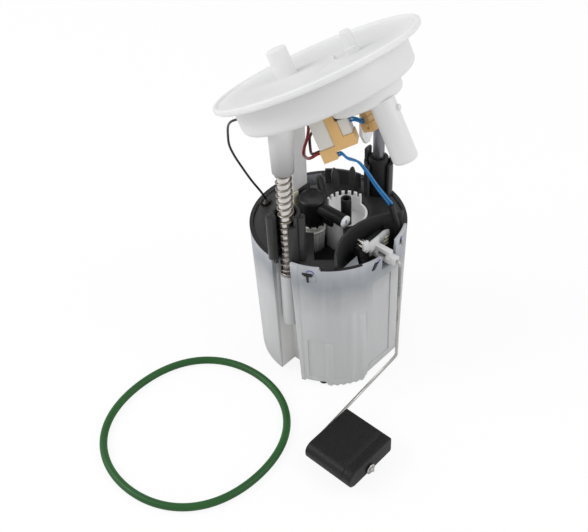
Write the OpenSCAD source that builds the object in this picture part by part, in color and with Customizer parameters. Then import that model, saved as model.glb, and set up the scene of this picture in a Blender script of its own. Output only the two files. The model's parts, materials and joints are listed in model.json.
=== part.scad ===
// In-tank fuel pump module: a sprung top flange over a reservoir cup, with a pump and a level sender.
// Origin at the centre of the cup's foot, +Z up, +X towards the cup's flat side and the float arm.

/* [Reservoir cup] */
// Outside radius at the rim
cup_r = 60; // [59:0.5:62]
// How much smaller the radius is at the ground
cup_taper = 3; // [2:0.5:4]
// Height of the rim above the ground
cup_h = 128; // [124:1:134]
// Height of the wall's bottom edge above the ground
cup_lift = 5; // [4:0.5:7]
// Thickness of the cup's wall
cup_wall = 2.2; // [1.8:0.1:2.6]
// Thickness of the cup's floor
cup_floor = 2.5; // [2:0.1:3.5]
// Depth of the flat side behind the rim's radius
flat_cut = 7; // [6:0.5:9]
// Height of the top of the flat side
flat_top = 107; // [98:1:109]
// Height of the step at the flat side's left corner
flat_step = 79; // [60:1:90]
// Width of the open channel in front of the guide rod
channel_w = 22.3; // [20:0.1:24]

/* [Guide] */
// Offset of both guide rods from the middle along the sender's axis
guide_x = 5; // [4:0.5:6]
// Distance of each guide rod's axis in from the rim
guide_in = 10; // [9.5:0.25:10.5]
// Offset of the rear rod from the front rod along the sender's axis
rear_shift = 3; // [2:0.25:3]
// Diameter of the guide rods
rod_d = 8.9; // [8:0.1:9.4]
// Outside diameter of the sleeve that guides the front rod
sleeve_d = 13.5; // [12.5:0.1:14]
// Height of the top of the front sleeve, where the spring sits
sleeve_top = 110; // [104:1:116]
// Length of the front sleeve
sleeve_h = 49; // [40:1:54]
// Height of the front boss's end, where the spring pushes
boss_z = 204; // [196:1:208]
// Diameter of the front boss
boss_d = 15.5; // [14.5:0.1:18]
// Height of the towers on the cover
tower_h = 41; // [34:1:44]
// Diameter of the spring's wire
spring_wire = 1.1; // [0.9:0.1:1.4]
// Number of coils in the spring
spring_coils = 18; // [12:1:20]

/* [Flange] */
// Radius of the flange's rim
flange_r = 75; // [72:0.5:80]
// Thickness of the flange's plate
flange_t = 3; // [2.5:0.25:4]
// Angle of the flange to the ground
flange_tilt = 30; // [26:1:34]
// Height of the flange's middle
flange_z = 262; // [256:1:268]
// Offset of the flange's middle along the sender's axis
flange_x = -5; // [-6:0.5:-4]
// Offset of the flange's middle across
flange_y = -4; // [-5:0.5:-3]
// Radius of the cup under the flange
neck_r = 63; // [62:0.5:66]
// Depth of the cup under the flange
neck_h = 25; // [22:0.5:28]
// Wall of the cup under the flange
neck_wall = 3; // [2:0.25:4]
// Diameter of the large stub
feed_d = 14.5; // [12:0.5:16]
// Length of the large stub
feed_h = 20; // [14:1:26]
// Diameter of the small stub
vent_d = 8; // [6:0.5:10]
// Length of the small stub
vent_h = 15.5; // [12:0.5:22]

/* [Pump] */
// Place of the pump's axis
pump_x = -8.4; // [-9:0.1:-8]
// Place of the pump's axis across
pump_y = -8; // [-8.5:0.1:-7.5]
// Radius of the pump's can
can_r = 18; // [16:0.25:18.5]
// Wall of the pump's can
can_wall = 1; // [0.8:0.1:1.4]
// Height of the lower end of the can
can_z = 24; // [22:0.5:26]
// Length of the can
can_h = 62; // [58:1:64]
// Length of the pump's outlet end above the can
end_h = 12; // [10:0.5:14]
// Radius of the filter's housing
filter_r = 30; // [28:0.5:31]
// Radius of the outlet cap
cap_r = 10.5; // [9.5:0.1:11]
// Height of the outlet cap's top
cap_top = 150; // [144:1:156]
// Diameter of the side pipe
pipe_d = 10; // [8:0.25:11]
// Reach of the side pipe along the sender's axis
pipe_x = 23.5; // [20:0.5:25]

/* [Sender] */
// Depth of the float arm's pivot below the rim
pivot_drop = 5.5; // [4.5:0.25:6.5]
// Diameter of the arm's wire
wire_d = 2.4; // [2:0.1:2.8]
// Distance of the arm's plane out from the flat side
arm_out = 16.5; // [16:0.5:17]
// Height of the wire's lower bend
bend_z = 23.6; // [20:0.2:28]
// Distance from the pivot's plane out to the float's bore
float_y = 90.5; // [80:0.5:96]
// Size of the float along its bore
float_w = 43; // [38:0.5:48]
// Size of the float along the arm
float_l = 51; // [44:0.5:56]
// Thickness of the float
float_t = 22; // [20:0.5:24]

/* [Seal] */
// Outside radius of the sealing ring
seal_r = 74.3; // [72:0.1:76]
// Diameter of the sealing ring's cord
seal_cord = 6; // [5:0.1:7]

/* [Hidden] */
$fn = 96;
// Gap between seated pieces of one body
seat = 0.05;
// Radial clearance of a running shaft
run = 0.06;
// Gap between pieces of different bodies
free = 0.5;

// Heights that the pieces share
floor_z = cup_lift + cup_floor;
plate_t = 3;
plate_top = cup_h - 1;
plate_z = plate_top - plate_t;
plate_r = cup_r - cup_wall - 0.4;
cup_foot_r = cup_r - cup_taper;
flat_x = cup_r - flat_cut;
guide_y = cup_r - guide_in;
rear_x = guide_x + rear_shift;
pivot_z = cup_h - pivot_drop;
arm_x = flat_x + arm_out;
deck_z = can_z + can_h + end_h;
deck_t = 2;
deck_top = deck_z + deck_t;
tower_top = plate_top + tower_h;
travel = boss_z - tower_top - free;

// Channel for the front rod
channel_x0 = guide_x - sleeve_d / 2 - 1;
channel_y = -(guide_y - sleeve_d / 2 - 1.5);
channel_top = plate_z - 3;

// Cover
bay_r = 50.6;
bay_c = [flat_x + 29, -7];
bay_wall = 2;
bay_h = 13;
bay_in = bay_c[0] - bay_r + 0.2;
guide_r = 8;
guide_wall = 2.4;
bead_r = 3;
bead_out = guide_r + bead_r + 0.6;
curl_h = 8;
rear_r = 8.8;
rear_wall_h = 30;
bush_r = 6;
notch_r = 44;
notch_a0 = 136;
notch_a1 = 149;
hook_a = -63;
hook_w = 8;
hook_h = 4.5;
hook_z = cup_h - 9.5;

// Regulator cup
reg_c = [5.2, 15.2];
reg_r = 16.2;
reg_open = reg_r + 0.8;
reg_wall = 1.6;
reg_rim = plate_top - 0.5;
reg_floor = plate_top - 10;
reg_floor_t = 1.8;
crown_h = 9;
crown_a0 = 84;
crown_a1 = 196;
finger_h = 25;
finger_lean = 15;
tube_c = [12.8, 6.2];
tube_d = 8;
tube_bore = 5.4;
pump_open = 15;
pan_wall = 2;
front_open = 46;
front_a = -48;
front_w = 22;

// Pump column
ring_h = 7;
cap_h = 23;
cap_z = cap_top - cap_h;
holder_h = cap_z - ring_h - seat - deck_top;
magnet_h = 40;
armature_h = 34;
pipe_z = cap_top - 7.5;
shaft_r = 2;

// Stop blade and its guide
blade_x = -24;
blade_t = 2.6;
blade_y = -14;
blade_w = 15;
blade_z = deck_top + travel + 3;
blade_guide_h = 51;
blade_gap = 0.4;
blade_guide_t = 1.2;
pocket = blade_guide_t + blade_gap + seat;

// Places of the small pieces
valve_c = [24, -20];
jet_c = [22, 28];
ground_c = [-50, -16];
reg_body_c = [2, 19];
seal_c = [-11.9, -145.7];

// Flange features, as places on the flange's own plane
feed_uv = [-12.7, -15.8];
vent_uv = [34.9, 3.9];
lobe_uv = [28, 4];
lobe_r = 27;
lobe_h = 35;
spigot_h = 1;
dome_uv = [46.6, 0.3];
dome_r = 8.7;
dome_end = 77.5;
dome_round = 3;
plug_uv = [13.7, -19.3];
plug_turn = 40;
plug_w = 25;
plug_t = 15;
plug_h = 25;
plug_left = 10.7;
plug_right = 6.8;
plug_step = 4;
nub_uv = [22.2, -2.2];
lead_uv = [23.8, 3.6];
rear_boss_z = 222;
rear_boss_d = 14;
lug_p = [11, 31];
lug_w = 12;
lug_z = 186;

// Float arm
pivot_bend = 3;
bend_in = 0.4;
arm_slope = atan2(bend_z - float_t / 2, float_y);
card_x = flat_x - 9;
card_t = 1;
hub_x = card_x + card_t + 1.2;
hub_end = arm_x - 8.5;
prong_h = 6;
float_x = arm_x + wire_d / 2 + 3.3;
bore_r = wire_d / 2 + run;

// Routes of the leads, hand-placed points
black_route = [[-41.2, -41.5, 223.1], [-43, -43.1, 222], [-49, -44.5, 218], [-54.5, -43, 211], [-58, -41, 201],
    [-60, -39, 190], [-60, -35, 178], [-58, -30, 165], [-55, -25, 152], [-52, -19, 139], [-50, -16, 131]];
blue_route = [[35, -27.4, 219.9], [36.5, -25.9, 220.5], [38.4, -22.5, 215.5], [39.2, -18, 211.8],
    [40, -12.5, 206.6], [41.2, -5.5, 194.8], [42.2, 0, 184], [43.1, 6, 173], [44.1, 11.5, 163.4],
    [45, 16.8, 154]];
blue_shift_low = [0.9, 0, -1.6];
blue_shift_high = [1.6, 1.3, 0.9];
jumper_route = [[35.4, -15.1, 239.2], [36.8, -13.8, 239.8], [38.2, -10.5, 238], [38.4, -7.4, 235.2],
    [38.4, -4.7, 234.4]];
jumper_shift = [-0.95, 0, 1.65];
sleeve_route = [[45.8, 17.8, 153.9], [46.8, 20, 145], [47.8, 22, 136], [48, 23, 128], [47.5, 23, 118],
    [46.5, 21, 110]];
red_route = [[5, -24, 238.6], [6.2, -24.2, 236.6], [7, -25.3, 226], [6.2, -26, 218.5], [3.8, -26.5, 210.5],
    [4, -28, 205.6], [8.5, -31, 206.5], [14.5, -34.5, 210.2], [20, -37, 214.8], [23.6, -36.2, 218.4],
    [25.8, -34.1, 219.7]];
brown_route = [[9.3, -18, 241], [10.5, -18.2, 238.9], [9.4, -20.6, 227], [5.8, -22.6, 218.5], [6.5, -24, 214.5],
    [10.2, -27.6, 213], [15, -32, 213.6], [19, -34, 215.6], [21.3, -32.5, 217.1], [23.3, -30.6, 218.3]];

// Outside radius of the cup at a height
function wall_r(z) = cup_foot_r + (cup_r - cup_foot_r) * z / cup_h;
function arc(r, a0, a1, n, c = [0, 0]) =
    [for (i = [0:n]) let (a = a0 + (a1 - a0) * i / n) c + r * [cos(a), sin(a)]];
function unit(v) = v / norm(v);

// Solid wedge of a circle between two angles, for cutting
module wedge(a0, a1, r, z0, z1) {
    translate([0, 0, z0]) linear_extrude(z1 - z0) polygon(concat([[0, 0]], arc(r, a0, a1, 8)));
}

// Round bar between two points
module bar(a, b, r) {
    d = b - a;
    translate(a) rotate([0, acos(d[2] / norm(d)), atan2(d[1], d[0])]) cylinder(r = r, h = norm(d));
}

// Rectangle with round corners, centred
module round_rect(w, h, r, n = 5) {
    polygon(concat(
        arc(r, 0, 90, n, [w / 2 - r, h / 2 - r]), arc(r, 90, 180, n, [r - w / 2, h / 2 - r]),
        arc(r, 180, 270, n, [r - w / 2, r - h / 2]), arc(r, 270, 360, n, [w / 2 - r, r - h / 2])));
}

// Places its children on the tilted flange, whose own axes are u, v and the normal
module on_flange(uv = [0, 0], n = 0) {
    translate([flange_x, flange_y, flange_z]) rotate([0, -flange_tilt, 0])
        translate([uv[0], uv[1], n]) children();
}

// Smooth curve through the points of a route
function spline(p, n) = [for (i = [0:len(p) - 2]) for (k = [0:n - 1])
    let (a = p[max(i - 1, 0)], b = p[i], c = p[i + 1], d = p[min(i + 2, len(p) - 1)], t = k / n)
    0.5 * (2 * b + (c - a) * t + (2 * a - 5 * b + 4 * c - d) * t * t + (3 * b - a - 3 * c + d) * t * t * t)];
function smooth(p, n) = concat(spline(p, n), [p[len(p) - 1]]);
function tangent(p, i) = unit(p[min(i + 1, len(p) - 1)] - p[max(i - 1, 0)]);

// Tube swept along a list of points
module sweep(p, r, sides) {
    up = [0.31, 0.29, 0.9];
    pts = [for (i = [0:len(p) - 1]) let (t = tangent(p, i), u = unit(cross(t, up)), v = cross(t, u))
        for (k = [0:sides - 1]) p[i] + r * (cos(360 * k / sides) * u + sin(360 * k / sides) * v)];
    n = len(p);
    lower = [for (i = [0:n - 2]) for (k = [0:sides - 1]) let (j = (k + 1) % sides)
        [i * sides + k, (i + 1) * sides + j, i * sides + j]];
    upper = [for (i = [0:n - 2]) for (k = [0:sides - 1]) let (j = (k + 1) % sides)
        [i * sides + k, (i + 1) * sides + k, (i + 1) * sides + j]];
    ends = [[for (k = [0:sides - 1]) k], [for (k = [sides - 1:-1:0]) (n - 1) * sides + k]];
    polyhedron(pts, concat(lower, upper, ends));
}

// The cup's outer form, moved inwards by inset, between two heights
module cup_form(inset, z0, z1) {
    difference() {
        translate([0, 0, z0]) cylinder(r1 = wall_r(z0) - inset, r2 = wall_r(z1) - inset, h = z1 - z0);
        translate([flat_x - inset, -16 - inset, z0 - 1]) cube([30, 60, flat_top + inset - z0 + 1]);
        translate([flat_x - inset, -40, z0 - 1]) cube([30, 40, flat_step + inset - z0 + 1]);
    }
}

// Block of a ring between two angles
module ring_block(r0, r1, a0, a1, z0, z1) {
    rotate([0, 0, a0]) rotate_extrude(angle = a1 - a0) translate([r0, z0]) square([r1 - r0, z1 - z0]);
}

module channel_block(grow, z1) {
    translate([channel_x0 - grow, -80, 0]) cube([channel_w + 2 * grow, 80 + channel_y + grow, z1]);
}

module reservoir() {
    panel_depth = 0.8;
    color([0.82, 0.84, 0.86]) difference() {
        union() {
            difference() {
                cup_form(0, cup_lift, cup_h);
                cup_form(cup_wall, floor_z, cup_h + 1);
            }
            intersection() {
                cup_form(0.4, cup_lift, cup_h);
                channel_block(cup_wall, channel_top);
            }
            cylinder(r = 14, h = floor_z - 0.5);
            ring_block(cup_r - cup_wall + 0.3, cup_r - 0.3, -76, -55, cup_h - 2, cup_h + 2.5);
            ring_block(cup_r - cup_wall + 0.3, cup_r - 0.3, 6, 27, cup_h - 2, cup_h + 6);
            // Corner shelf of the rim inside the sender's bay
            translate([0, 0, plate_z - 1.5]) linear_extrude(2.5) intersection() {
                circle(r = cup_r - 1);
                polygon([[flat_x - 9.5, -42], [flat_x - 10.8, -16.3], [flat_x + 5, -30.5]]);
            }
        }
        translate([0, 0, -1]) channel_block(0, cup_h + 10);
        // Opening for the float arm's hub
        translate([flat_x, -8, pivot_z - 7.5]) cube([12, 15.5, 40]);
        // Slots for the cover's hooks
        rotate([0, 0, hook_a]) translate([cup_r - 6, -hook_w / 2, hook_z]) cube([12, hook_w, hook_h]);
        for (a = [-13.5, 17]) rotate([0, 0, a]) translate([cup_r - 6, -1, cup_h - 7]) cube([12, 2, 5]);
        // Recessed panel low on the front and the one in the flat side
        intersection() {
            difference() {
                cylinder(r = 70, h = cup_h);
                cup_form(panel_depth, 0, cup_h + 1);
            }
            wedge(-66, -53, 90, cup_lift + 4, 53);
        }
        translate([flat_x - 1, -15, cup_lift + 6]) cube([5, 26, flat_top - cup_lift - 5]);
        // Scalloped bottom edge
        for (a = [-50:5:-25]) rotate([0, 0, a]) translate([cup_foot_r - 6, 0, cup_lift])
            rotate([0, 90, 0]) cylinder(r = 1.8, h = 12);
        // Inlet through the floor
        translate([valve_c[0], valve_c[1], 0]) cylinder(r = 3, h = 20);
    }
}

module rubber_feet() {
    h = cup_lift - seat;
    color([0.1, 0.1, 0.1]) for (a = [-55, 35, 125, 215]) rotate([0, 0, a])
        translate([cup_foot_r - 5, 0, 0]) rotate_extrude()
            polygon(concat([[0, 0]], arc(2, -90, 0, 5, [2, 2]), [[4, h], [0, h]]));
}

module inlet_valve() {
    low = cup_lift - seat;
    top = floor_z + seat;
    color([0.12, 0.12, 0.12]) translate([valve_c[0], valve_c[1], 0]) rotate_extrude()
        polygon([[0, low - 2], [3.6, low - 2], [3.6, low - 1], [2, low], [2.6, top], [8, top], [8, top + 0.8],
            [2, top + 2.4], [0, top + 2.4]]);
}

module inlet_strainer() {
    color([0.9, 0.9, 0.86]) translate([pump_x, pump_y, floor_z + seat]) rotate_extrude()
        polygon([[0, 0], [20, 0], [21, 1.5], [20, 3.5], [6, 4.4], [0, 4.4]]);
}

module jet_pump() {
    color([0.15, 0.15, 0.16]) translate([jet_c[0], jet_c[1], floor_z + seat]) {
        difference() {
            union() {
                translate([-6, -6, 0]) cube([12, 12, 12]);
                translate([-18, 0, 7]) rotate([0, 90, 0]) cylinder(r = 4, h = 30);
            }
            translate([-19, 0, 7]) rotate([0, 90, 0]) cylinder(r = 2.2, h = 32);
        }
        translate([0, 0, 12]) cylinder(r = 2.5, h = 8);
    }
}

module inlet_cap_profile() {
    z = can_z - floor_z - 4.6;
    r = can_r - can_wall - seat;
    b = shaft_r + run;
    polygon([[4, 0], [can_r - 6, 0], [can_r - 1, 4], [can_r, 4], [can_r, z], [r, z], [r, z + 3.6], [b, z + 3.6],
        [b, z - 3], [4, z - 3]]);
}

module pump_inlet_cap() {
    color([0.2, 0.2, 0.2]) translate([pump_x, pump_y, floor_z + 4.4 + 2 * seat])
        rotate_extrude() inlet_cap_profile();
}

module pump_can() {
    color([0.7, 0.71, 0.72]) translate([pump_x, pump_y, can_z]) difference() {
        cylinder(r = can_r, h = can_h);
        translate([0, 0, -1]) cylinder(r = can_r - can_wall, h = can_h + 2);
    }
}

module pump_outlet_cap() {
    h = end_h - seat;
    r = can_r - can_wall - seat;
    color([0.2, 0.2, 0.2]) translate([pump_x, pump_y, can_z + can_h]) rotate_extrude()
        polygon([[shaft_r + run, -5], [r, -5], [r, seat], [can_r, seat], [can_r, h - 3], [can_r - 4, h], [4, h],
            [4, 3], [shaft_r + run, 3]]);
}

module pump_magnets() {
    r = can_r - can_wall - seat;
    color([0.3, 0.3, 0.32]) translate([pump_x, pump_y, can_z + 12]) difference() {
        cylinder(r = r, h = magnet_h);
        translate([0, 0, -1]) cylinder(r = r - 3, h = magnet_h + 2);
        for (a = [0, 90]) rotate([0, 0, a]) translate([-can_r, -3, -1]) cube([2 * can_r, 6, magnet_h + 2]);
    }
}

module pump_armature() {
    z = can_z + 14;
    color([0.75, 0.45, 0.2]) translate([pump_x, pump_y, 0]) {
        translate([0, 0, can_z - 2]) cylinder(r = shaft_r, h = can_h + 3);
        difference() {
            translate([0, 0, z]) cylinder(r = can_r - can_wall - 3.6, h = armature_h);
            for (k = [0:7]) rotate([0, 0, 45 * k])
                translate([can_r - can_wall - 8, -0.8, z - 1]) cube([6, 1.6, armature_h + 2]);
        }
        translate([0, 0, z + armature_h]) cylinder(r = 6, h = 6);
    }
}

module pump_impeller() {
    color([0.85, 0.8, 0.65]) translate([pump_x, pump_y, can_z + 6.2]) difference() {
        cylinder(r = can_r - can_wall - 1, h = 4);
        translate([0, 0, -1]) cylinder(r = shaft_r + seat, h = 6);
        for (k = [0:29]) rotate([0, 0, 12 * k])
            translate([can_r - can_wall - 3.4, -0.6, -1]) cube([4, 1.2, 6]);
    }
}

module fuel_filter() {
    color([0.9, 0.82, 0.6]) translate([pump_x, pump_y, can_z + 6]) difference() {
        cylinder(r = filter_r - 2.4, h = can_h - 10);
        translate([0, 0, -1]) cylinder(r = can_r + 1.6, h = can_h);
    }
}

module filter_housing() {
    color([0.16, 0.16, 0.17]) translate([pump_x, pump_y, can_z]) difference() {
        cylinder(r = filter_r, h = can_h);
        translate([0, 0, 6 - seat]) cylinder(r = filter_r - 2, h = can_h - 10 + 2 * seat);
        translate([0, 0, -1]) cylinder(r = can_r + seat, h = can_h + 2);
    }
}

// Outline of the sunk part of the cover, grown by g
module pan_outline(g) {
    difference() {
        union() {
            translate(reg_c) circle(r = reg_open + g);
            translate([pump_x, pump_y]) circle(r = pump_open + g);
            rotate(front_a) translate([0, -front_w / 2 - g]) square([front_open + g, front_w + 2 * g]);
        }
        translate(bay_c) circle(r = bay_r + bay_wall - g);
        translate([channel_x0 - cup_wall - seat, -80])
            square([channel_w + 2 * cup_wall + 2 * seat, 80 + channel_y + cup_wall + seat]);
    }
}

// Outline of a round guide with a wall of t, open round the angle a
module guide_outline(r, t, a, half) {
    difference() {
        circle(r = r + t);
        circle(r = r);
        polygon(concat([[0, 0]], arc(3 * r, a - half, a + half, 8)));
    }
}

// Pointed finger that clips the regulator cup
module finger() {
    h = finger_h;
    rotate([90, 0, 0]) linear_extrude(2.4) polygon([[-1.8, 0], [1.8, 0], [2.1, 0.35 * h], [2.9, 0.6 * h],
        [2.6, 0.82 * h], [1.3, 0.96 * h], [0, h], [-1.4, 0.96 * h], [-2.7, 0.82 * h], [-3, 0.6 * h],
        [-2.1, 0.35 * h]]);
}

module cover_plate() {
    difference() {
        translate([0, 0, plate_z]) linear_extrude(plate_t) difference() {
            circle(r = plate_r);
            pan_outline(0);
            translate(bay_c) circle(r = bay_r);
            translate([guide_x, -guide_y]) circle(r = guide_r);
            translate([guide_x, -guide_y]) polygon(concat([[0, 0]], arc(3 * guide_r, -138, -2, 8)));
            translate([rear_x, guide_y]) circle(r = bush_r + seat);
            translate(ground_c) circle(r = 2);
            translate([blade_x - pocket, blade_y - pocket])
                square([blade_t + 2 * pocket, blade_w + 2 * pocket]);
            // Notch behind, through which the cup's wall shows
            intersection() {
                difference() {
                    circle(r = 2 * cup_r);
                    circle(r = notch_r);
                }
                polygon(concat([[0, 0]], arc(2 * cup_r, notch_a0, notch_a1, 4)));
            }
        }
        // Shallow step round the earth terminal
        translate([ground_c[0], ground_c[1], plate_top - 0.8]) cylinder(r = 5, h = 2);
    }
}

module cover_hooks() {
    // T-shaped hook in the front slot
    z = hook_z + 2;
    rotate([0, 0, hook_a]) {
        translate([plate_r - 3, -2, plate_z - 2]) cube([1.6, 4, 3]);
        translate([plate_r - 3, 1 - hook_w / 2, z]) cube([cup_r - plate_r + 3.6, hook_w - 2, hook_h - 2.6]);
        translate([plate_r - 3, 1 - hook_w / 2, z]) cube([1.6, hook_w - 2, plate_z - z + 1]);
    }
}

module cover() {
    color([0.18, 0.18, 0.19]) {
        difference() {
            union() {
                cover_plate();
                // Sunk pan round the pump and the regulator
                translate([0, 0, deck_z]) linear_extrude(plate_top - deck_z) difference() {
                    pan_outline(pan_wall);
                    pan_outline(0);
                }
                translate([0, 0, deck_z]) linear_extrude(deck_t) pan_outline(pan_wall - 0.5);
                // Wall round the sender's bay
                translate([0, 0, deck_z + 6]) linear_extrude(plate_top + bay_h - deck_z - 6) intersection() {
                    difference() {
                        translate(bay_c) circle(r = bay_r + bay_wall);
                        translate(bay_c) circle(r = bay_r);
                    }
                    circle(r = plate_r - 0.8);
                }
                cover_hooks();
            }
            translate([pump_x, pump_y, deck_z - 1]) cylinder(r = 5, h = 5);
            translate([blade_x - pocket, blade_y - pocket, deck_top])
                cube([blade_t + 2 * pocket, blade_w + 2 * pocket, 60]);
        }
        // Front tower: it curls round the spring below and opens wide above, with a bead on each lip
        translate([guide_x, -guide_y, plate_z]) {
            linear_extrude(plate_t + tower_h) guide_outline(guide_r, guide_wall, -56, 52);
            ring_block(guide_r + 0.1, guide_r + guide_wall - 0.1, -40, 0, 0, plate_t + tower_h - curl_h);
        }
        for (a = [21, 238]) translate([guide_x, -guide_y, cup_h + 0.3])
            rotate([0, 0, a]) translate([bead_out, 0, 0]) cylinder(r = bead_r, h = tower_top - cup_h - 1);
        // Rear tower, open towards the middle, with two lugs that stand up from its wall
        intersection() {
            translate([rear_x, guide_y, plate_z]) {
                linear_extrude(plate_t + rear_wall_h) guide_outline(rear_r, guide_wall, -52, 46);
                ring_block(rear_r + 0.1, rear_r + guide_wall - 0.1, 165, 205, 0, plate_t + tower_h - 2);
                ring_block(rear_r + 0.1, rear_r + guide_wall - 0.1, 25, 62, 0, plate_t + tower_h - 7);
            }
            union() {
                cylinder(r = plate_r, h = cup_h + 0.3);
                translate([0, 0, cup_h + 0.3]) cylinder(r = cup_r - 0.5, h = 100);
            }
        }
        // Fingers round the regulator cup and the wall behind them
        for (a = [120, 151, 184]) translate([reg_c[0], reg_c[1], plate_top - 0.5]) rotate([0, 0, a - 90])
            translate([0, reg_open + 4, 0]) rotate([-finger_lean, 0, 0]) finger();
        ring_block(plate_r - 12.4, plate_r - 10.4, 98, 134, plate_top - 0.5, plate_top + 13);
    }
}

module front_sleeve() {
    h = sleeve_h;
    color([0.86, 0.86, 0.85]) translate([guide_x, -guide_y, sleeve_top - h]) difference() {
        union() {
            cylinder(d = sleeve_d, h = h);
            translate([-3, 0, 4]) cube([6, guide_y + channel_y - seat, h - 8]);
        }
        translate([0, 0, -1]) cylinder(d = rod_d + 2 * run, h = h + 2);
    }
}

module rear_bush() {
    z0 = plate_z - 12;
    z1 = plate_top + 1.5;
    collar = cup_r - cup_wall - norm([rear_x, guide_y]) - 0.4;
    color([0.08, 0.08, 0.08]) translate([rear_x, guide_y, 0]) difference() {
        union() {
            translate([0, 0, z0]) cylinder(r = bush_r, h = z1 - z0);
            translate([0, 0, plate_top + seat]) cylinder(r = collar, h = z1 - plate_top);
            translate([0, 0, z1]) cylinder(r = bush_r + 1.6, h = plate_top + rear_wall_h + 4 - z1);
        }
        translate([0, 0, z0 - 1]) cylinder(d = rod_d + 2 * run, h = tower_top);
    }
}

module blade_guide() {
    g = blade_gap;
    t = blade_guide_t;
    color([0.85, 0.83, 0.72]) translate([blade_x, blade_y, deck_top + seat]) difference() {
        translate([-g - t, -g - t, 0]) cube([blade_t + 2 * g + 2 * t, blade_w + 2 * g + 2 * t, blade_guide_h]);
        translate([-g, -g, 1]) cube([blade_t + 2 * g, blade_w + 2 * g, blade_guide_h]);
    }
}

module regulator_cup() {
    low = deck_top + seat;
    notch_z = reg_rim + crown_h - 4;
    color([0.93, 0.93, 0.92]) difference() {
        translate([reg_c[0], reg_c[1], 0]) difference() {
            translate([0, 0, low]) cylinder(r = reg_r, h = reg_rim + crown_h - low);
            // Low rim in front, which leaves a raised crown behind
            ring_block(0, reg_r + 5, crown_a1, crown_a0 + 360, reg_rim, reg_rim + crown_h + 5);
            translate([0, 0, reg_floor]) cylinder(r = reg_r - reg_wall, h = 60);
            translate([0, 0, low - 1]) cylinder(r = reg_r - reg_wall, h = reg_floor - reg_floor_t - low + 1);
            for (k = [0:5]) rotate([0, 0, crown_a0 + 6 + 18 * k])
                translate([reg_r - 4, 0, notch_z]) cube([8, 2.6, 8]);
        }
        // Way for the return tube
        translate([tube_c[0], tube_c[1], low - 1]) cylinder(d = tube_d + 2 * seat, h = 60);
    }
}

module regulator_body() {
    h = reg_floor - reg_floor_t - deck_top - 3 * seat;
    color([0.72, 0.6, 0.3]) translate([reg_body_c[0], reg_body_c[1], deck_top + seat]) rotate_extrude()
        polygon([[0, 0], [6.5, 0], [6.5, 0.6 * h], [4.5, 0.75 * h], [4.5, h], [0, h]]);
}

module return_tube() {
    color([0.1, 0.1, 0.1]) translate([tube_c[0], tube_c[1], deck_top + seat]) difference() {
        cylinder(d = tube_d, h = cap_top - deck_top);
        translate([0, 0, 4]) cylinder(d = tube_bore, h = cap_top);
    }
}

module pump_holder() {
    color([0.6, 0.6, 0.58]) translate([pump_x, pump_y, deck_top + seat]) difference() {
        cylinder(r1 = cap_r - 2.4, r2 = cap_r - 0.9, h = holder_h - 2 * seat);
        translate([0, 0, -1]) cylinder(r = 5, h = holder_h + 2);
    }
}

module isolator_ring() {
    h = ring_h;
    color([0.83, 0.8, 0.7]) translate([pump_x, pump_y, deck_top + holder_h]) difference() {
        rotate_extrude() polygon([[5, 0], [cap_r - 0.6, 0], [cap_r - 0.4, 0.2 * h], [cap_r - 1.4, 0.3 * h],
            [cap_r - 0.2, h], [5, h]]);
        translate([0, 0, -1]) cylinder(r = 5, h = h + 2);
    }
}

module outlet_cap() {
    h = cap_h;
    color([0.13, 0.13, 0.13]) {
        difference() {
            union() {
                translate([pump_x, pump_y, cap_z]) rotate_extrude()
                    polygon([[0, 0], [cap_r - 1, 0], [cap_r - 1, 6], [cap_r, 8], [cap_r, h - 1], [cap_r - 1, h],
                        [cap_r - 2, h - 1], [1, h - 1.6], [0, h - 2.6]]);
                translate([pump_x, pump_y, pipe_z]) rotate([0, 90, 0])
                    cylinder(d = pipe_d, h = pipe_x - pump_x);
                translate([pump_x, pump_y - 1.2, cap_z + 4])
                    cube([pipe_x - pump_x - 12, 2.4, pipe_z - cap_z - 4]);
                for (a = [-120:30:0]) translate([pump_x, pump_y, cap_z]) rotate([0, 0, a])
                    translate([cap_r - 1.4, -0.8, 0]) cube([1.6, 1.6, 8]);
            }
            translate([pipe_x - 16, pump_y, pipe_z]) rotate([0, 90, 0]) cylinder(d = pipe_d - 3, h = 20);
        }
    }
}

module pipe_plug() {
    color([0.9, 0.9, 0.92]) translate([pipe_x - 8, pump_y, pipe_z]) rotate([0, 90, 0]) {
        cylinder(d = pipe_d - 3 - 2 * seat, h = 8 + seat);
        translate([0, 0, 8 + seat]) cylinder(d = pipe_d - 0.6, h = 1.2);
    }
}

module ground_terminal() {
    color([0.3, 0.3, 0.3]) translate([ground_c[0], ground_c[1], 0]) {
        translate([0, 0, plate_z]) cylinder(r = 2 - seat, h = plate_t);
        translate([-2, -3.4, plate_top - 0.8 + seat]) cube([4, 6.8, 2.2]);
        translate([0, 0, plate_top]) cylinder(r = 1.8, h = 3.4);
    }
}

module sender_bracket() {
    z = pivot_z - 16.5;
    color([0.14, 0.14, 0.14]) difference() {
        union() {
            translate([card_x - 5, -15, z]) cube([5, 33, 24.5]);
            translate([bay_in, -10, z]) cube([card_x - bay_in, 7, 12]);
            translate([card_x - 6, 0, pivot_z]) rotate([0, 90, 0]) cylinder(r = 4.5, h = 6);
            translate([card_x - 5, 9, z - 3]) cube([9, 3, 8]);
            translate([card_x - 5, -15, z + 4]) cube([9, 3, 10]);
        }
        translate([card_x - 7, 0, pivot_z]) rotate([0, 90, 0]) cylinder(r = bore_r, h = 12);
        translate([card_x - 6, -12, pivot_z + 5]) cube([7, 8, 20]);
        translate([card_x - 6, 13, pivot_z + 5]) cube([7, 3, 20]);
    }
}

module sender_card() {
    color([0.72, 0.72, 0.7]) translate([card_x + seat, 0, pivot_z]) rotate([90, 0, 90])
        linear_extrude(card_t) difference() {
        polygon([[-5, -4.5], [12, -5.5], [17, -1.5], [18.5, 2.5], [17.5, 7.5], [12, 9.8], [2, 9], [-5, 5.5]]);
        circle(r = 3);
    }
}

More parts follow.
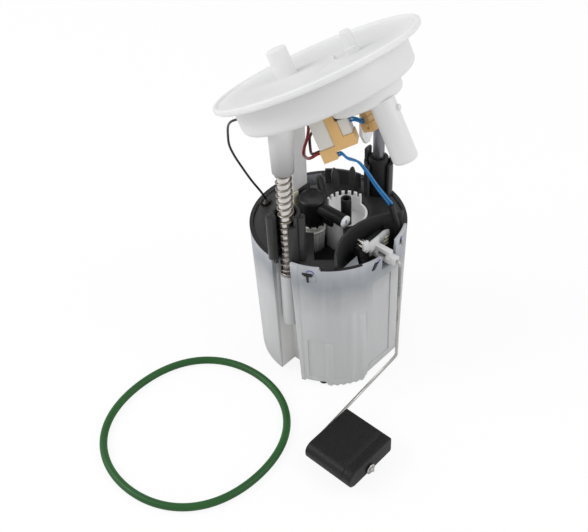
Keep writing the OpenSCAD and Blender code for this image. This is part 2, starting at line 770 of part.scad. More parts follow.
module sender_contacts() {
    color([0.88, 0.87, 0.82]) for (k = [0:2])
        translate([card_x + card_t + 2 * seat, 9.4 + 1.2 * k, pivot_z - 4 + 2.9 * k]) cube([1, 6 - k, 1.4]);
}

module sender_rotor() {
    long = hub_end - hub_x;
    color([0.9, 0.9, 0.88]) difference() {
        union() {
            // Two rails one above the other, joined at both ends round the wire
            translate([hub_x, -2.2, pivot_z - 4.6]) cube([long, 4.4, 11]);
            translate([hub_x, 0, pivot_z]) rotate([0, 90, 0]) cylinder(r = 3.4, h = long);
            translate([hub_x, -12.5, pivot_z + 6]) cube([2, 14.7, 6]);
            translate([hub_x, -8, pivot_z + 3]) cube([2, 8, 4]);
            translate([hub_x, -15, pivot_z + 9]) cube([2, 5, 7]);
            // Clip that holds the wire outside the cup
            translate([hub_end - 1, -2.5, pivot_z - 3]) cube([arm_x - hub_end - 2, 5, 6]);
        }
        translate([hub_x - 1, 0, pivot_z]) rotate([0, 90, 0]) cylinder(r = wire_d / 2 + seat, h = 40);
        translate([hub_x + 4, -6, pivot_z - 2]) cube([long - 7, 12, 4.8]);
    }
}

module wiper_contacts() {
    // Ends of the contact prongs, as places round the pivot
    ends = [[-13.9, 14.6], [-11.5, 10.6], [-14.4, 10.6], [-8.8, 11]];
    color([0.86, 0.82, 0.66]) for (e = ends)
        translate([hub_x - prong_h, e[0], pivot_z + e[1]]) cube([prong_h - seat, 1.3, 1]);
}

// Bend of the arm's wire, a trace thicker than the straights that end inside it
module bend(a) {
    rotate_extrude(angle = a) translate([pivot_bend, 0]) circle(r = wire_d / 2 + 0.05, $fn = 32);
}

module arm_wire() {
    r = wire_d / 2;
    b = pivot_bend;
    turn = 90 - arm_slope;
    t = b * tan(turn / 2);
    reach = norm([float_y, bend_z - float_t / 2]) - t;
    far_x = float_x + float_w + 3.5;
    color([0.6, 0.59, 0.57]) {
        bar([card_x - 6.5, 0, pivot_z], [arm_x - b + bend_in, 0, pivot_z], r);
        translate([arm_x - b, 0, pivot_z - b]) rotate([90, 0, 0]) bend(90);
        bar([arm_x, 0, pivot_z - b + bend_in], [arm_x, 0, bend_z + t - bend_in], r);
        translate([arm_x, -b, bend_z + t]) rotate([0, 90, 0]) rotate([0, 0, 90 - turn]) bend(turn);
        translate([arm_x, -float_y, float_t / 2]) rotate([arm_slope, 0, 0]) {
            bar([0, reach + bend_in, 0], [0, b - bend_in, 0], r);
            translate([b, b, 0]) rotate([0, 0, 180]) bend(90);
        }
        bar([arm_x + b - bend_in, -float_y, float_t / 2], [far_x, -float_y, float_t / 2], r);
    }
}

module push_washer() {
    color([0.65, 0.65, 0.63]) translate([float_x + float_w + 0.5, -float_y, float_t / 2])
        rotate([0, 90, 0]) difference() {
        cylinder(r = 4.2, h = 0.9);
        translate([0, 0, -1]) cylinder(r = wire_d / 2 + seat, h = 3);
    }
}

module float() {
    color([0.15, 0.15, 0.15]) difference() {
        translate([float_x, -float_y, float_t / 2]) rotate([90, 0, 90]) linear_extrude(float_w)
            round_rect(float_l, float_t, 2.2);
        translate([float_x - 1, -float_y, float_t / 2]) rotate([0, 90, 0])
            cylinder(r = bore_r, h = float_w + 2);
    }
}

module spring() {
    r = (sleeve_d - 2) / 2;
    z0 = sleeve_top + spring_wire / 2 + 0.1;
    z1 = boss_z - spring_wire / 2 - 0.3;
    steps = 14 * spring_coils;
    color([0.62, 0.6, 0.57]) translate([guide_x, -guide_y, 0]) sweep([for (i = [0:steps])
        [r * cos(360 * i / 14), r * sin(360 * i / 14), z0 + (z1 - z0) * i / steps]], spring_wire / 2, 6);
}

module guide_rods() {
    low = sleeve_top - sleeve_h + 1;
    rear_low = plate_z - 24;
    color([0.83, 0.81, 0.78]) {
        translate([guide_x, -guide_y, low]) cylinder(d = rod_d, h = boss_z + 34 - low);
        translate([rear_x, guide_y, rear_low]) cylinder(d = rod_d, h = rear_boss_z + 14 - rear_low);
    }
}

module flange() {
    color([0.86, 0.86, 0.87]) {
        // Plate with a shallow spigot that sits on the neck
        on_flange() rotate_extrude() polygon([[0, -flange_t - spigot_h], [neck_r, -flange_t - spigot_h],
            [neck_r, -flange_t], [flange_r - 1.5, -flange_t],
            [flange_r, -flange_t + 1.2], [flange_r, 0.8], [flange_r - 0.8, 1.6], [flange_r - 2.4, 1.6],
            [flange_r - 3.6, 0], [0, 0]]);
        on_flange(feed_uv) rotate_extrude() polygon(concat([[0, -1], [feed_d / 2 + 0.8, -1], [feed_d / 2, 2]],
            arc(2, 0, 90, 5, [feed_d / 2 - 2, feed_h - 2]), [[0, feed_h]]));
        on_flange(vent_uv) rotate_extrude() polygon([[0, -1], [vent_d / 2 + 1.2, -1], [vent_d / 2 + 1.2, 4],
            [vent_d / 2, 5], [vent_d / 2, vent_h - 2], [vent_d / 2 - 1, vent_h], [0, vent_h]]);
        on_flange(nub_uv) cylinder(r1 = 2, r2 = 1.6, h = 2.4);
    }
}

// Space below the flange's plate that the neck fills
module neck_form(inset) {
    e = 5 - inset;
    top = -flange_t - spigot_h - seat + (inset > 0 ? 1 : 0);
    on_flange() rotate_extrude() polygon(concat([[0, inset - neck_h]],
        arc(e, -90, 0, 6, [neck_r - 5, 5 - neck_h]), [[neck_r - inset, top], [0, top]]));
    on_flange(lobe_uv) rotate_extrude() polygon(concat([[0, inset - lobe_h]],
        arc(e, -90, 0, 6, [lobe_r - 5, 5 - lobe_h]), [[lobe_r - inset, -neck_h + 4], [0, -neck_h + 4]]));
}

module flange_neck() {
    color([0.84, 0.84, 0.85]) difference() {
        union() {
            difference() {
                neck_form(0);
                neck_form(neck_wall);
            }
            // Bosses of the rods, the stop blade and the pointed lug, up to inside the neck
            intersection() {
                union() {
                    translate([guide_x, -guide_y, boss_z]) cylinder(d1 = boss_d, d2 = boss_d + 4, h = 60);
                    translate([rear_x, guide_y, rear_boss_z]) cylinder(d = rear_boss_d, h = 100);
                    translate([blade_x, blade_y, blade_z]) cube([blade_t, blade_w, 120]);
                    translate([lug_p[0] - 1.5, lug_p[1], lug_z]) rotate([90, 0, 90]) linear_extrude(3)
                        polygon([[-lug_w / 2, 9], [-1.5, 0], [2.5, 0], [lug_w / 2, 6], [lug_w / 2, 80],
                            [-lug_w / 2, 80]]);
                }
                on_flange() translate([-200, -200, -400]) cube([400, 400, 410 - neck_h]);
            }
            // Closed pipe end beside the lobe
            on_flange(dome_uv) {
                rotate_extrude() polygon(concat([[0, -dome_end]],
                    arc(dome_round, -90, 0, 5, [dome_r - dome_round, dome_round - dome_end]),
                    [[dome_r, 2 - lobe_h], [0, 2 - lobe_h]]));
                translate([0, 0, -6 - lobe_h]) rotate([0, 90, 20]) cylinder(r = 2, h = dome_r + 1.6);
            }
        }
        translate([guide_x, -guide_y, boss_z - 1]) cylinder(d = rod_d + 2 * seat, h = 36);
        translate([rear_x, guide_y, rear_boss_z - 1]) cylinder(d = rod_d + 2 * seat, h = 16);
    }
}

// Places its children in the frame of the plug, whose foot is at z = 0
module on_plug() {
    on_flange(plug_uv, -neck_h - plug_h - seat) rotate([0, 0, plug_turn]) children();
}

// Space of the lobe that the plug stands clear of
module lobe_space() {
    on_flange(lobe_uv, -lobe_h - seat) cylinder(r = lobe_r + seat, h = lobe_h);
}

module plug_housing() {
    color([0.84, 0.82, 0.78]) difference() {
        on_plug() {
            translate([-plug_w / 2, -plug_t / 2, 0]) cube([plug_left, plug_t, plug_h]);
            translate([plug_w / 2 - plug_right, -plug_t / 2, plug_step])
                cube([plug_right, plug_t, plug_h - plug_step]);
        }
        lobe_space();
    }
}

module plug_shell() {
    wide = plug_w + 1;
    deep = plug_t + 1.2;
    stripe = plug_w - plug_left - plug_right - 2 * seat;
    color([0.82, 0.62, 0.38]) difference() {
        on_plug() {
            translate([seat - plug_w / 2 + plug_left, -deep / 2, -1]) cube([stripe, plug_t, plug_h + 1]);
            translate([-wide / 2, -deep / 2, -4]) cube([wide, deep, 4 - seat]);
            translate([plug_w / 2 - plug_right - 1, -deep / 2, -1])
                cube([plug_right + 1.5, deep, plug_step + 1 - seat]);
            translate([-wide / 2, -deep / 2, -9]) cube([10, 9, 6]);
        }
        lobe_space();
    }
}

module lead_connector() {
    color([0.82, 0.62, 0.38]) on_flange(lead_uv, -lobe_h - seat) difference() {
        union() {
            translate([-3, -3, -9]) cube([6, 6, 9]);
            translate([-4, -3.5, -12.5]) cube([8, 7, 4.5]);
            translate([-5, -4, -18.5]) cube([10, 8, 6.5]);
        }
        translate([1, -5, -15.5]) rotate([-90, 0, 0]) cylinder(r = 1, h = 5);
    }
}

module lead_sleeve() {
    color([0.07, 0.07, 0.07]) sweep(smooth(sleeve_route, 4), 2.2, 8);
}

module black_lead() {
    color([0.05, 0.05, 0.05]) sweep(smooth(black_route, 4), 0.9, 8);
}

module blue_leads() {
    p = smooth(blue_route, 4);
    n = len(p) - 1;
    color([0.06, 0.43, 0.67]) {
        sweep(p, 0.8, 8);
        sweep([for (i = [0:n]) p[i] + blue_shift_low * (1 - i / n) + blue_shift_high * i / n], 0.8, 8);
    }
}

module jumper_leads() {
    p = smooth(jumper_route, 4);
    color([0.06, 0.43, 0.67]) {
        sweep(p, 0.8, 8);
        sweep([for (q = p) q + jumper_shift], 0.8, 8);
    }
}

module red_lead() {
    color([0.55, 0.08, 0.12]) sweep(smooth(red_route, 4), 0.9, 8);
}

module brown_lead() {
    color([0.14, 0.08, 0.07]) sweep(smooth(brown_route, 4), 0.9, 8);
}

module sealing_ring() {
    color([0.23, 0.48, 0.25]) translate([seal_c[0], seal_c[1], seal_cord / 2]) rotate_extrude()
        translate([seal_r - seal_cord / 2, 0]) circle(d = seal_cord, $fn = 32);
}

reservoir();
rubber_feet();
inlet_valve();
inlet_strainer();
jet_pump();
cover();
front_sleeve();
rear_bush();
blade_guide();
regulator_cup();
regulator_body();
return_tube();
fuel_filter();
filter_housing();
pump_can();
pump_inlet_cap();
pump_outlet_cap();
pump_magnets();
pump_armature();
pump_impeller();
pump_holder();
isolator_ring();
outlet_cap();
pipe_plug();
ground_terminal();
sender_bracket();
sender_card();
sender_contacts();
lead_sleeve();
sender_rotor();
wiper_contacts();
arm_wire();
push_washer();
float();
spring();
guide_rods();
flange();
flange_neck();
plug_housing();
plug_shell();
lead_connector();
jumper_leads();
black_lead();
blue_leads();
red_lead();
brown_lead();
sealing_ring();
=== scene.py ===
import json
import math

import bmesh
import bpy
from mathutils import Matrix, Vector


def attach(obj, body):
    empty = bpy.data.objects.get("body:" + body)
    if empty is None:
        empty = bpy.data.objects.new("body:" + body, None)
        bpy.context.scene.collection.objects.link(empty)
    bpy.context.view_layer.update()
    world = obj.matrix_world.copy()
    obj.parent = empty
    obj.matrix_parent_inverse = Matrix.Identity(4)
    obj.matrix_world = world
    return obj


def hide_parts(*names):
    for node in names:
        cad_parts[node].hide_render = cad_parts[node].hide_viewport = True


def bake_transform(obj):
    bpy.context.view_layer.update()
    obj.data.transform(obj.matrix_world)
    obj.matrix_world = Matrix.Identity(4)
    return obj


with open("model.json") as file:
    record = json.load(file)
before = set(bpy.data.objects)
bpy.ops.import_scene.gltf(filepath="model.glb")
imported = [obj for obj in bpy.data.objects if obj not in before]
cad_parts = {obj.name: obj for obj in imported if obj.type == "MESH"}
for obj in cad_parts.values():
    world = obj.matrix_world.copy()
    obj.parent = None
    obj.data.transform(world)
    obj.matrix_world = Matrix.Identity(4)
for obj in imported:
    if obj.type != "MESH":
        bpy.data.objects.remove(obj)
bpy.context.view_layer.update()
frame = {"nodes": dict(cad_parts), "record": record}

nodes = frame["nodes"]
scene = bpy.context.scene
mm = 0.001
print("frame loaded:", len(nodes), "nodes")


# Node helpers; feed and compute serve shader and geometry trees alike


def feed(tree, socket, value):
    if isinstance(value, bpy.types.NodeSocket):
        tree.links.new(value, socket)
    else:
        socket.default_value = value


def compute(tree, operation, *terms):
    node = tree.nodes.new("ShaderNodeMath")
    node.operation = operation
    for socket, term in zip(node.inputs, terms):
        feed(tree, socket, term)
    return node.outputs["Value"]


def addRange(tree, source, span, values):
    spread = tree.nodes.new("ShaderNodeMapRange")
    for label, value in zip(("From Min", "From Max", "To Min", "To Max"), (*span, *values)):
        spread.inputs[label].default_value = value
    tree.links.new(source, spread.inputs["Value"])
    return spread.outputs["Result"]


def addNoise(tree, scale, detail=3.0, stretch=(1, 1, 1)):
    coords = tree.nodes.new("ShaderNodeTexCoord")
    mapping = tree.nodes.new("ShaderNodeMapping")
    mapping.inputs["Scale"].default_value = stretch
    tree.links.new(coords.outputs["Object"], mapping.inputs["Vector"])
    grain = tree.nodes.new("ShaderNodeTexNoise")
    grain.inputs["Scale"].default_value = scale
    grain.inputs["Detail"].default_value = detail
    grain.inputs["Roughness"].default_value = surface["noiseRoughness"]
    tree.links.new(mapping.outputs["Vector"], grain.inputs["Vector"])
    return grain.outputs["Fac"]


def objectAxes(tree, origin=(0, 0, 0)):
    coords = tree.nodes.new("ShaderNodeTexCoord")
    shift = tree.nodes.new("ShaderNodeVectorMath")
    shift.operation = "SUBTRACT"
    shift.inputs[1].default_value = origin
    tree.links.new(coords.outputs["Object"], shift.inputs[0])
    split = tree.nodes.new("ShaderNodeSeparateXYZ")
    tree.links.new(shift.outputs["Vector"], split.inputs["Vector"])
    return split.outputs


def squaredReach(tree, axes):
    squares = [compute(tree, "MULTIPLY", axes[side], axes[side]) for side in ("X", "Y")]
    return compute(tree, "ADD", *squares)


def mixColors(tree, factor, first, second, blend="MIX"):
    tint = tree.nodes.new("ShaderNodeMix")
    tint.data_type = "RGBA"
    tint.blend_type = blend
    for label, value in (("Factor", factor), ("A", first), ("B", second)):
        feed(tree, tint.inputs[label], value)
    return tint.outputs["Result"]


def mixShaders(tree, out, factor, first, second):
    both = tree.nodes.new("ShaderNodeMixShader")
    feed(tree, both.inputs["Fac"], factor)
    tree.links.new(first, both.inputs[1])
    tree.links.new(second, both.inputs[2])
    tree.links.new(both.outputs["Shader"], out.inputs["Surface"])


# Materials, with every pattern on Object coordinates

noiseSpan = (0.3, 0.7)  # where nearly all of a noise's values lie
surface = {"noiseRoughness": 0.55, "cloud": 25.0, "metalGrain": 600.0,
           "plasticSpread": (-0.06, 0.06), "metalSpread": (-0.1, 0.12),  # what grain adds to the roughness
           "plasticDepth": 0.0004, "metalDepth": 0.0002}


def newMaterial(name):
    mat = bpy.data.materials.new(name)
    mat.use_nodes = True
    tree = mat.node_tree
    tree.nodes.clear()
    return mat, tree, tree.nodes.new("ShaderNodeOutputMaterial")


def newSurface(tree, roughness, specular=0.5):
    shader = tree.nodes.new("ShaderNodeBsdfPrincipled")
    shader.inputs["Roughness"].default_value = roughness
    shader.inputs["Specular IOR Level"].default_value = specular
    return shader


def clouded(tree, color, shade, scale, detail=3.0, span=noiseSpan):
    cloud = addRange(tree, addNoise(tree, scale, detail), span, (0, 1))
    dark = [c * (1 - shade) for c in color] + [1]
    light = [min(1.0, c * (1 + shade)) for c in color] + [1]
    return mixColors(tree, cloud, dark, light)


def addGrain(tree, shader, scale, roughness, bump, depth, stretch=(1, 1, 1)):
    fine = addNoise(tree, scale, stretch=stretch)
    tree.links.new(addRange(tree, fine, noiseSpan, roughness), shader.inputs["Roughness"])
    relief = tree.nodes.new("ShaderNodeBump")
    relief.inputs["Strength"].default_value = bump
    relief.inputs["Distance"].default_value = depth
    tree.links.new(fine, relief.inputs["Height"])
    tree.links.new(relief.outputs["Normal"], shader.inputs["Normal"])


def lightThrough(tree, out, shader, color, share):
    glow = tree.nodes.new("ShaderNodeBsdfTranslucent")
    feed(tree, glow.inputs["Color"], color)
    mixShaders(tree, out, share, shader.outputs["BSDF"], glow.outputs["BSDF"])


def plastic(name, color, roughness=0.4, shade=0.12, bump=0.05, grain=900.0, specular=0.5):
    mat, tree, out = newMaterial(name)
    shader = newSurface(tree, roughness, specular)
    tree.links.new(clouded(tree, color, shade, surface["cloud"]), shader.inputs["Base Color"])
    spread = [roughness + d for d in surface["plasticSpread"]]
    addGrain(tree, shader, grain, spread, bump, surface["plasticDepth"])
    tree.links.new(shader.outputs["BSDF"], out.inputs["Surface"])
    return mat


def metal(name, color, roughness=0.3, bump=0.04, stretch=(1, 1, 1)):
    mat, tree, out = newMaterial(name)
    shader = newSurface(tree, roughness)
    shader.inputs["Base Color"].default_value = (*color, 1)
    shader.inputs["Metallic"].default_value = 1.0
    spread = [roughness + d for d in surface["metalSpread"]]
    addGrain(tree, shader, surface["metalGrain"], spread, bump, surface["metalDepth"], stretch)
    tree.links.new(shader.outputs["BSDF"], out.inputs["Surface"])
    return mat


def twoTone(mat, colorBeyond, axis, edge, blur=0.0002):
    tree = mat.node_tree
    shader = next(n for n in tree.nodes if n.type == "BSDF_PRINCIPLED")
    base = shader.inputs["Base Color"]
    first = base.links[0].from_socket if base.links else tuple(base.default_value)
    beyond = addRange(tree, objectAxes(tree)[axis], (edge - blur, edge + blur), (0.0, 1.0))
    tree.links.new(mixColors(tree, beyond, first, (*colorBeyond, 1)), base)
    return mat


flangeLook = {"color": (0.84, 0.84, 0.845), "through": (0.85, 0.85, 0.85), "share": 0.3, "roughness": 0.5,
              "specular": 0.2, "shade": 0.04, "cloud": 18.0, "span": (0.35, 0.65)}


def flangePlastic(look):
    mat, tree, out = newMaterial("flangePlastic")
    shader = newSurface(tree, look["roughness"], look["specular"])
    tint = clouded(tree, look["color"], look["shade"], look["cloud"], 4.0, look["span"])
    tree.links.new(tint, shader.inputs["Base Color"])
    lightThrough(tree, out, shader, (*look["through"], 1), look["share"])
    return mat


cupLook = {
    "tall": 0.134,  # the colours are spread over this height, from the ground up
    # painted shade: from about 0.08 m up the colours turn darker and bluer in a band below the rim, where
    # the black cover shows through the wall
    "colors": [(0.0, (0.63, 0.635, 0.64)), (0.05, (0.64, 0.645, 0.65)), (0.082, (0.63, 0.635, 0.645)),
               (0.100, (0.50, 0.51, 0.525)), (0.113, (0.37, 0.39, 0.42)), (0.121, (0.41, 0.43, 0.46)),
               (0.128, (0.50, 0.52, 0.55)), (0.134, (0.58, 0.60, 0.63))],
    "share": 0.25, "roughness": 0.32, "specular": 0.35,  # share is the light that passes through
    "cloud": 30.0, "cloudStretch": (1, 1, 0.35), "drift": 0.07,  # clouds shift the colours in height
    "streak": 120.0, "streakStretch": (1, 1, 0.06), "faint": 0.02,  # faint upright streaks
    # the inner keys set the painted light on the wall's inner face
    "inner": 0.0560, "innerBlur": 0.0004, "innerZ": (0.105, 0.122), "paintedLightColor": (0.90, 0.90, 0.89),
    "flatX": (0.0500, 0.0506),  # where the flat side starts
}


def heightColors(tree, look, level):
    ramp = tree.nodes.new("ShaderNodeValToRGB")
    band = ramp.color_ramp.elements
    (_, foot), *between, (_, top) = look["colors"]
    band[0].color = (*foot, 1)
    band[1].color = (*top, 1)
    for height, color in between:
        band.new(height / look["tall"]).color = (*color, 1)
    tree.links.new(level, ramp.inputs["Fac"])
    return ramp.outputs["Color"]


def innerPaintedLight(tree, look, axes):
    # painted light: the wall's inner face is painted paler, standing in for light through the plastic where
    # that face lies in shade; not near the rim or on the flat side
    low, high = look["innerZ"]
    reach = ((look["inner"] - look["innerBlur"]) ** 2, look["inner"] ** 2)
    inner = addRange(tree, squaredReach(tree, axes), reach, (1.0, 0.0))
    across = compute(tree, "MULTIPLY", inner, addRange(tree, axes["Z"], (high, low), (0.0, 1.0)))
    offFlat = addRange(tree, axes["X"], look["flatX"], (1.0, 0.0))
    return compute(tree, "MULTIPLY", across, offFlat)


def cupPlastic(look):
    mat, tree, out = newMaterial("cupPlastic")
    shader = newSurface(tree, look["roughness"], look["specular"])
    axes = objectAxes(tree)
    cloud = addNoise(tree, look["cloud"], 4.0, look["cloudStretch"])
    drift = addRange(tree, cloud, noiseSpan, (-look["drift"], look["drift"]))
    height = addRange(tree, axes["Z"], (0.0, look["tall"]), (0.0, 1.0))
    # the height colours carry the painted shade of the band below the rim
    tint = heightColors(tree, look, compute(tree, "ADD", height, drift))
    streak = addNoise(tree, look["streak"], stretch=look["streakStretch"])
    faint = addRange(tree, streak, noiseSpan, (1 - look["faint"], 1 + look["faint"]))
    grey = tree.nodes.new("ShaderNodeCombineColor")
    for channel in ("Red", "Green", "Blue"):
        tree.links.new(faint, grey.inputs[channel])
    tint = mixColors(tree, 1.0, tint, grey.outputs["Color"], "MULTIPLY")
    tint = mixColors(tree, innerPaintedLight(tree, look, axes), tint, (*look["paintedLightColor"], 1))
    tree.links.new(tint, shader.inputs["Base Color"])
    lightThrough(tree, out, shader, tint, look["share"])
    return mat


# dark is the painted shade on the lower end of the boss round the front rod
neckLook = {"color": (0.665, 0.665, 0.665), "dark": (0.26, 0.26, 0.265), "axis": (0.005, -0.050, 0),
            "reach": 0.012, "spread": 1.15, "z": (0.242, 0.204), "roughness": (0.33, 0.43),
            "specular": 0.35, "grain": 700.0, "bump": 0.04}


def neckPlastic(look):
    # painted shade: the boss round the front rod is painted darker towards its lower end, where the rod and
    # spring show through it
    mat, tree, out = newMaterial("neckPlastic")
    shader = newSurface(tree, look["roughness"][0], look["specular"])
    axes = objectAxes(tree, look["axis"])
    reach = (look["reach"] ** 2, (look["reach"] * look["spread"]) ** 2)
    near = addRange(tree, squaredReach(tree, axes), reach, (1.0, 0.0))
    down = addRange(tree, axes["Z"], look["z"], (0.0, 1.0))
    paintedShade = compute(tree, "MULTIPLY", near, down)
    tint = mixColors(tree, paintedShade, (*look["color"], 1), (*look["dark"], 1))
    tree.links.new(tint, shader.inputs["Base Color"])
    addGrain(tree, shader, look["grain"], look["roughness"], look["bump"], surface["plasticDepth"])
    tree.links.new(shader.outputs["BSDF"], out.inputs["Surface"])
    return mat


alongRod = (1, 1, 0.05)
rodColor = (0.66, 0.63, 0.60)
finishes = {
    "cup_plastic": cupPlastic(cupLook),
    "flange_plastic": flangePlastic(flangeLook),
    "black_plastic": plastic("blackPlastic", (0.011, 0.011, 0.012), 0.36, shade=0.25, specular=0.3),
    "black_rubber": plastic("blackRubber", (0.012, 0.012, 0.012), 0.55, specular=0.3),
    "mesh": plastic("strainerMesh", (0.8, 0.8, 0.75), 0.7, bump=0.3),
    "cream_plastic": plastic("creamPlastic", (0.62, 0.58, 0.42), 0.42),
    "white_plastic": plastic("whitePlastic", (0.76, 0.77, 0.77), 0.38, shade=0.05),
    "brass": metal("brass", (0.70, 0.54, 0.28), 0.35),
    "filter_paper": plastic("filterPaper", (0.7, 0.6, 0.35), 0.8, bump=0.4),
    "steel": metal("steel", (0.45, 0.44, 0.42), 0.3),
    "magnet": plastic("magnet", (0.06, 0.06, 0.065), 0.6),
    "copper": metal("copper", (0.72, 0.36, 0.2), 0.35),
    "grey_plastic": plastic("greyPlastic", (0.36, 0.36, 0.34), 0.45),
    "cream_rubber": plastic("creamRubber", (0.56, 0.54, 0.45), 0.55),
    "ceramic": plastic("ceramic", (0.52, 0.53, 0.52), 0.5, shade=0.08),
    "float_foam": plastic("floatFoam", (0.0045, 0.0045, 0.0045), 0.5, shade=0.3, bump=0.35,
                          grain=1400.0, specular=0.3),
    "spring_steel": metal("springSteel", (0.30, 0.275, 0.245), 0.26),
    "rod_steel": metal("rodSteel", rodColor, 0.38, bump=0.02, stretch=alongRod),
    "dark_steel": metal("darkSteel", (0.06, 0.055, 0.05), 0.45),
    "beige_plastic": plastic("beigePlastic", (0.58, 0.56, 0.52), 0.42, shade=0.05),
    "tan_plastic": plastic("tanPlastic", (0.60, 0.37, 0.14), 0.42, shade=0.10),
    "black_wire": plastic("blackWire", (0.008, 0.008, 0.009), 0.22),
    "blue_wire": plastic("blueWire", (0.001, 0.155, 0.42), 0.38, specular=0.35),
    "red_wire": plastic("redWire", (0.22, 0.006, 0.012), 0.38, specular=0.35),
    "brown_wire": plastic("brownWire", (0.035, 0.012, 0.010), 0.4),
    "green_rubber": plastic("greenRubber", (0.011, 0.078, 0.013), 0.42, grain=500.0, specular=0.32),
}
ink = plastic("inkBlue", (0.02, 0.02, 0.30), 0.5)
special = {  # pieces whose finish differs a little from the rest of their slot
    "flange_neck": neckPlastic(neckLook),
    "regulator_cup": plastic("whiteCap", (0.86, 0.86, 0.86), 0.36, shade=0.03),
    "pump_holder": plastic("silverGrey", (0.50, 0.50, 0.49), 0.32),
    "cover": plastic("coverBlack", (0.027, 0.027, 0.0275), 0.36, shade=0.25, specular=0.3),
    "outlet_cap": plastic("capBlack", (0.0055, 0.0055, 0.006), 0.36, shade=0.2, specular=0.28),
    "isolator_ring": plastic("ringWhite", (0.66, 0.65, 0.61), 0.45, shade=0.05),
    "sender_rotor": plastic("rotorWhite", (0.60, 0.60, 0.605), 0.36, shade=0.06),
    "wiper_contacts": metal("paleContact", (0.78, 0.76, 0.70), 0.3),
    "blade_guide": twoTone(plastic("guideTwoTone", (0.50, 0.48, 0.38)), (0.010, 0.010, 0.011), "Y", -0.0105),
    "guide_rods": twoTone(metal("rodPair", rodColor, 0.36, bump=0.02, stretch=alongRod),
                          (0.20, 0.20, 0.22), "Y", 0.0),
    "front_sleeve": plastic("sleeveGrey", (0.45, 0.452, 0.458), 0.34, shade=0.04),
}
print("materials made:", len(finishes) + len(special))


# CAD nodes: finish and softened edges

softEdges = {"weld": 0.000004, "flatAngle": 0.4, "segments": 2, "sharpAngle": 32.0, "widths": {
    "reservoir": 0.0005, "cover": 0.0004, "flange": 0.0004, "flange_neck": 0.0009, "float": 0.0005,
    "outlet_cap": 0.0004, "plug_shell": 0.0004, "plug_housing": 0.0005, "lead_connector": 0.0004,
    "sender_bracket": 0.0003, "sender_rotor": 0.0003, "front_sleeve": 0.0004, "rear_bush": 0.0004,
    "blade_guide": 0.0003, "regulator_cup": 0.0003, "return_tube": 0.0003}}


def shadeSmooth(mesh, angle):
    mesh.polygons.foreach_set("use_smooth", [True] * len(mesh.polygons))
    mesh.set_sharp_from_angle(angle=math.radians(angle))


def dressNode(name, material, width):
    node = nodes[name]
    node.data.materials.clear()
    node.data.materials.append(material)
    weld = node.modifiers.new("weld", "WELD")
    weld.merge_threshold = softEdges["weld"]
    flat = node.modifiers.new("flat", "DECIMATE")
    flat.decimate_type = "DISSOLVE"
    flat.angle_limit = math.radians(softEdges["flatAngle"])
    if width > 0:
        bevel = node.modifiers.new("edge", "BEVEL")
        bevel.width = width
        bevel.segments = softEdges["segments"]
        bevel.limit_method = "ANGLE"
        bevel.angle_limit = math.radians(softEdges["sharpAngle"])
    if node.data.has_custom_normals:
        with bpy.context.temp_override(object=node, active_object=node, selected_objects=[node]):
            bpy.ops.mesh.customdata_custom_splitnormals_clear()
    shadeSmooth(node.data, softEdges["sharpAngle"])


slots = {s["node"]: s["material_slot"] for s in frame["record"]["subparts"]}
for name in nodes:
    dressNode(name, special.get(name, finishes[slots[name]]), softEdges["widths"].get(name, 0.0))
print("nodes dressed")


# Geometry trees for what repeats or follows a path


def newTree(name, sizes):
    tree = bpy.data.node_groups.new(name, "GeometryNodeTree")
    tree.interface.new_socket("Geometry", in_out="INPUT", socket_type="NodeSocketGeometry")
    tree.interface.new_socket("Material", in_out="INPUT", socket_type="NodeSocketMaterial")
    for label in sizes:
        tree.interface.new_socket(label, in_out="INPUT", socket_type="NodeSocketFloat")
    tree.interface.new_socket("Geometry", in_out="OUTPUT", socket_type="NodeSocketGeometry")
    return tree, tree.nodes.new("NodeGroupInput").outputs, tree.nodes.new("NodeGroupOutput")


def endTree(tree, sizes, end, geometry):
    real = tree.nodes.new("GeometryNodeRealizeInstances")
    paint = tree.nodes.new("GeometryNodeSetMaterial")
    tree.links.new(geometry, real.inputs["Geometry"])
    tree.links.new(real.outputs["Geometry"], paint.inputs["Geometry"])
    tree.links.new(sizes["Material"], paint.inputs["Material"])
    tree.links.new(paint.outputs["Geometry"], end.inputs["Geometry"])


def tubeOn(tree, curve, radius, sides):
    ring = tree.nodes.new("GeometryNodeCurvePrimitiveCircle")
    ring.inputs["Resolution"].default_value = sides
    tree.links.new(radius, ring.inputs["Radius"])
    tube = tree.nodes.new("GeometryNodeCurveToMesh")
    tube.inputs["Fill Caps"].default_value = True
    tree.links.new(curve, tube.inputs["Curve"])
    tree.links.new(ring.outputs["Curve"], tube.inputs["Profile Curve"])
    return tube.outputs["Mesh"]


def wireTree(sides):
    tree, sizes, end = newTree("wireAlongRoute", ("Radius",))
    path = tree.nodes.new("GeometryNodeMeshToCurve")
    tree.links.new(sizes["Geometry"], path.inputs["Mesh"])
    endTree(tree, sizes, end, tubeOn(tree, path.outputs["Curve"], sizes["Radius"], sides))
    return tree


